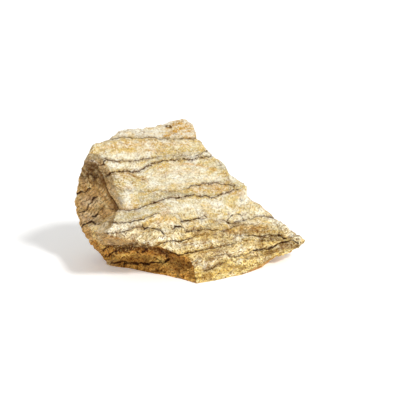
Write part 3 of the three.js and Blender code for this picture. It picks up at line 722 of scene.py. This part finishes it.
def makeGrain():
    # sugary grain: pale, dark and rusty specks about Size mm across
    group = bpy.data.node_groups.new("sugarGrain", "ShaderNodeTree")
    socket = group.interface.new_socket
    socket("Vector", in_out="INPUT", socket_type="NodeSocketVector")
    socket("Size", in_out="INPUT", socket_type="NodeSocketFloat")
    for name in ("Pale", "Dark", "Rusty", "Height"):
        socket(name, in_out="OUTPUT", socket_type="NodeSocketFloat")
    inside = group.nodes.new("NodeGroupInput")
    outside = group.nodes.new("NodeGroupOutput")
    fineness = maths(group, "DIVIDE", 1.0, inside.outputs["Size"])
    scaled = vectorMaths(group, "SCALE", {0: inside.outputs["Vector"], 3: fineness})
    for name, shift, least in (("Pale", 0, 0.54), ("Dark", 40, 0.55), ("Rusty", 80, 0.53)):
        moved = vectorMaths(group, "ADD", {0: scaled, 1: (shift, shift, shift)})
        value = add(group, "TexNoise", None, {"Vector": moved, "Scale": 1.0, "Detail": 1.5,
                                              "Roughness": 0.6}).outputs[0]
        group.links.new(spread(group, value, least, least + 0.12), outside.inputs[name])
        if name == "Dark":
            group.links.new(maths(group, "SUBTRACT", 1.0, value), outside.inputs["Height"])
    return group


def placeGrain(tree, group, vector, size):
    placed = add(tree, "Group")
    placed.node_tree = group
    tree.links.new(vector, placed.inputs["Vector"])
    placed.inputs["Size"].default_value = size
    return placed.outputs


def makeJasper(grain):
    material = bpy.data.materials.new("jasper")
    material.use_nodes = True
    tree = material.node_tree
    tree.nodes.clear()
    output = add(tree, "OutputMaterial")
    shader = add(tree, "BsdfPrincipled")
    tree.links.new(shader.outputs[0], output.inputs[0])
    cover = jasper["cover"]

    def times(first, second, clamp=False):
        return maths(tree, "MULTIPLY", first, second, clamp)

    def faded(value, low, high, newLow=0.0, newHigh=1.0, smooth=True):
        return spread(tree, value, low, high, newLow, newHigh, smooth)

    def lumps(name, vector):
        return cloud(tree, vector, *jasper["clouds"][name])

    def over(colour, amount, tint):
        return blend(tree, amount, colour, tint)

    place = vectorMaths(tree, "SCALE", {0: add(tree, "TexCoord").outputs["Object"], 3: 1 / mm})    # in mm
    read = {name: add(tree, "Attribute", {"attribute_name": name}).outputs["Fac"] for name in kept}
    axes = add(tree, "SeparateXYZ", None, {0: place}).outputs
    along = add(tree, "CombineXYZ", None, {0: axes[0], 1: axes[1], 2: read["level"]}).outputs[0]
    coarse = faded(read["coarse"], 0.35, 1.0, 0.35, 1.0, False)      # the lower beds are coarser and rustier

    # tint of the bed, with stripes and patches that run along it
    wobble = times(maths(tree, "SUBTRACT", lumps("wobble", place), 0.5), 0.6)
    above = maths(tree, "ADD", maths(tree, "ADD", read["bed"], wobble), 1.0)
    bedShare = maths(tree, "DIVIDE", above, seamCount + 1)
    colour = ramp(tree, bedShare, [((i + 0.5) / (seamCount + 1), tint) for i, tint in enumerate(jasper["beds"])])
    stripes = lumps("stripes", along)
    colour = over(colour, faded(stripes, 0.5, 0.59, 0, cover["goldStripes"]), jasper["gold"])
    colour = over(colour, faded(stripes, 0.49, 0.4, 0, cover["creamStripes"]), jasper["cream"])
    streaks = maths(tree, "FRACT", times(lumps("streaks", along), 8.0))
    streaks = faded(maths(tree, "ABSOLUTE", maths(tree, "SUBTRACT", streaks, 0.5)), 0.02, 0.26, 1.0, 0.0)
    streaks = times(streaks, faded(lumps("streakGaps", along), 0.44, 0.58))
    colour = over(colour, times(streaks, cover["streaks"]), jasper["streak"])
    patches = lumps("patches", along)
    golden = times(faded(patches, 0.5, 0.62), faded(coarse, 0.5, 1.0, 0.42, 0.5))
    colour = over(colour, golden, jasper["gold"])
    colour = over(colour, faded(patches, 0.48, 0.4, 0, cover["whitePatches"]), jasper["white"])
    veins = lumps("veins", along)
    calm = faded(coarse, 0.6, 1.0, 1.0, 0.4)
    colour = over(colour, times(faded(veins, 0.52, 0.6, 0, cover["goldVeins"]), calm), jasper["gold"])
    colour = over(colour, times(faded(veins, 0.48, 0.4, 0, cover["whiteVeins"]), calm), jasper["white"])

    # fine brown fracture lines, in patches
    curls = add(tree, "TexNoise", None, {"Vector": place, "Scale": 0.6, "Detail": 4.0}).outputs[1]
    bent = vectorMaths(tree, "MULTIPLY_ADD", {0: curls, 1: (3.5, 3.5, 3.5), 2: place})
    cells = add(tree, "TexVoronoi", {"feature": "DISTANCE_TO_EDGE"},
                {"Vector": bent, "Scale": 1 / jasper["fractureSize"]}).outputs["Distance"]
    fracture = times(faded(cells, 0.01, 0.05, 1.0, 0.0), faded(lumps("fractureGaps", place), 0.46, 0.58))
    colour = over(colour, times(fracture, cover["fractures"]), jasper["fracture"])

    # weathered skin, rusty sole darkened partly as painted shade, and stains and painted shade broken up by the grain
    tatter = faded(lumps("tatter", place), 0.4, 0.58)

    def stainedAndShaded(colour, name):
        patchy = times(read[name], maths(tree, "ADD", times(tatter, 0.9), 0.3))
        return over(colour, times(patchy, cover[name], True), jasper[name])

    leaning = add(tree, "Mapping", None, {0: place, 2: (0, -0.8, 0)}).outputs[0]
    skinTint = ramp(tree, lumps("skin", leaning), jasper["skin"])
    colour = over(colour, times(read["skin"], cover["skin"]), skinTint)
    colour = stainedAndShaded(colour, "ochre")
    colour = stainedAndShaded(colour, "greyAndShade")
    colour = stainedAndShaded(colour, "white")
    soleTint = ramp(tree, lumps("sole", along), jasper["sole"])
    colour = over(colour, times(read["sole"], cover["sole"]), soleTint)
    colour = stainedAndShaded(colour, "honey")
    colour = stainedAndShaded(colour, "umberAndShade")

    # thin wavy ridges on the combed flank
    climb = times(maths(tree, "SUBTRACT", axes[2], axes[0]), 0.4)
    ridges = maths(tree, "FRACT", maths(tree, "ADD", climb, times(lumps("sway", place), 4.0)))
    ridges = faded(maths(tree, "ABSOLUTE", maths(tree, "SUBTRACT", ridges, 0.5)), 0.03, 0.16, 1.0, 0.0)
    ridges = times(ridges, faded(lumps("ridgeGaps", place), 0.36, 0.5))
    colour = over(colour, times(ridges, times(read["combed"], cover["ridges"])), jasper["ridge"])

    # mottling and sugary grain
    mottle = lumps("mottle", along)
    mottled = blend(tree, 1.0, colour, ramp(tree, mottle, jasper["mottle"]), "MULTIPLY")
    colour = over(colour, coarse, mottled)
    stretch = jasper["grainStretch"]
    bedwise = add(tree, "Mapping", None, {0: along, 3: (stretch, stretch, 1)}).outputs[0]
    fine = placeGrain(tree, grain, bedwise, jasper["fineGrain"])
    wide = placeGrain(tree, grain, bedwise, jasper["wideGrain"])
    colour = over(colour, times(fine["Rusty"], cover["fineRust"]), jasper["ochre"])
    darkTint = blend(tree, coarse, jasper["dark"], jasper["rustyDark"])
    colour = over(colour, times(fine["Dark"], faded(coarse, 0.4, 1.0, 0.3, 0.94)), darkTint)
    colour = over(colour, times(wide["Rusty"], cover["wideRust"]), jasper["gold"])
    colour = over(colour, times(wide["Dark"], cover["wideDark"]), jasper["wideDark"])
    weathered = maths(tree, "MAXIMUM", read["skin"], read["sole"])
    paleTint = blend(tree, read["sole"], blend(tree, coarse, jasper["white"], jasper["amber"]), jasper["solePale"])
    paleSpecks = maths(tree, "ADD", faded(weathered, 0, 1, 0.85, 0.12), times(read["sole"], 0.5))
    colour = over(colour, times(fine["Pale"], paleSpecks), paleTint)

    # worn edges are pale; hollows and low places are darkened, partly dirt and partly painted shade
    colour = over(colour, faded(read["edge"], 0.2, 0.8, 0, cover["wornEdges"]), jasper["cream"])
    colour = over(colour, faded(read["edge"], -0.15, -0.9, 0, cover["hollows"]), jasper["umberAndShade"])
    colour = over(colour, faded(read["relief"], -0.3, -1.1, 0, cover["dirtAndShade"]), jasper["dirtAndShade"])

    # seams and cracks, and the painted shade of the shade bands among the cracks
    fraction = maths(tree, "SUBTRACT", read["bed"], maths(tree, "ROUND", read["bed"]))
    gap = times(maths(tree, "ABSOLUTE", fraction), read["thick"])
    ragged = times(maths(tree, "SUBTRACT", lumps("ragged", place), 0.5), 1.8)
    breakup = lumps("breakup", place)
    width = times(faded(breakup, 0.38, 0.62, 0.5, 1.7, False), jasper["seamHalfWidth"])
    line = faded(maths(tree, "ADD", maths(tree, "DIVIDE", gap, width), ragged), 0.6, 1.5, 1.0, 0.0)
    line = times(line, read["ink"], True)
    # cracks darken with the seam colour; the bands in recesses and under the overhang are painted shade
    crackAndShadeMark = times(read["crackAndShade"], faded(breakup, 0.36, 0.6, 0.45, 1.3, False))
    line = maths(tree, "MAXIMUM", line, faded(crackAndShadeMark, 0.2, 0.9))
    # the halo along the seams is part stain, part painted shade
    halo = times(faded(gap, 0.2, 1.7, 1.0, 0.0), read["ink"], True)
    colour = over(colour, times(times(halo, tatter), cover["stainAndShadeBorder"]), jasper["stainAndShadeBorder"])
    specks = faded(lumps("dirtAndShade", place), 0.47, 0.56)
    colour = over(colour, times(times(halo, specks), cover["speckledStainAndShadeBorder"]), jasper["speckledStainAndShadeBorder"])
    colour = over(colour, times(line, cover["seams"]), jasper["seam"])
    tree.links.new(colour, shader.inputs["Base Color"])
    shader.inputs["Specular IOR Level"].default_value = jasper["specular"]
    tree.links.new(faded(fine["Pale"], 0.0, 1.0, 0.9, 0.5, False), shader.inputs["Roughness"])
    height = maths(tree, "ADD", fine["Height"], times(mottle, 3.0))
    height = maths(tree, "ADD", height, times(stripes, 0.8))
    bump = add(tree, "Bump", None, {"Strength": 0.9, "Distance": jasper["bump"], "Height": height})
    tree.links.new(bump.outputs[0], shader.inputs["Normal"])
    return material


lump.data.materials.clear()
lump.data.materials.append(makeJasper(makeGrain()))
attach(lump, "root")
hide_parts("stone")
print("stage 4: jasper material made")

studio = {
    "floorSize": 6.0,
    "floorTint": paint(252, 252, 251),
    "floorGlow": 0.2,            # keeps the pale floor even behind the stone
    "floorDrop": 0.1 * mm,       # keeps the floor clear of the sole
    "sky": 0.58,
    "sun": 2.2,
    "sunSpread": 0.18,           # angle across the soft light, in radians
    "sunFrom": Vector((0.5, -0.48, 0.72)),
    "cameraPlace": Vector((9.0, -860.7, 343.5)) * mm,
    "cameraTarget": Vector((9.0, -15.0, 35.7)) * mm,
    "lens": 155.77,
    "sensor": 36.0,
}


def makeFloor():
    half = studio["floorSize"] / 2
    mesh = bpy.data.meshes.new("floor")
    mesh.from_pydata([(-half, -half, 0), (half, -half, 0), (half, half, 0), (-half, half, 0)], [], [(0, 1, 2, 3)])
    floor = bpy.data.objects.new("floor", mesh)
    bpy.context.scene.collection.objects.link(floor)
    material = bpy.data.materials.new("paleFloor")
    material.use_nodes = True
    shader = material.node_tree.nodes["Principled BSDF"]
    shader.inputs["Base Color"].default_value = studio["floorTint"]
    shader.inputs["Roughness"].default_value = 0.9
    shader.inputs["Emission Color"].default_value = (1, 1, 1, 1)
    shader.inputs["Emission Strength"].default_value = studio["floorGlow"]
    mesh.materials.append(material)
    floor.location.z = -studio["floorDrop"]


def aimed(piece, place, target):
    bpy.context.scene.collection.objects.link(piece)
    piece.location = place
    piece.rotation_euler = (target - place).to_track_quat("-Z", "Y").to_euler()


makeFloor()
world = bpy.data.worlds.new("studio")
bpy.context.scene.world = world
world.use_nodes = True
world.node_tree.nodes["Background"].inputs["Color"].default_value = (1, 1, 1, 1)
world.node_tree.nodes["Background"].inputs["Strength"].default_value = studio["sky"]
lamp = bpy.data.lights.new("key", "SUN")
lamp.energy, lamp.angle = studio["sun"], studio["sunSpread"]
aimed(bpy.data.objects.new("key", lamp), studio["sunFrom"], Vector((0, 0, 0)))
camera = bpy.data.objects.new("camera", bpy.data.cameras.new("camera"))
camera.data.lens = studio["lens"]
camera.data.sensor_width = studio["sensor"]
camera.data.clip_start = 0.01
aimed(camera, studio["cameraPlace"], studio["cameraTarget"])
bpy.context.scene.camera = camera
bpy.context.scene.view_settings.view_transform = "Standard"
print("stage 5: floor, light and camera set")
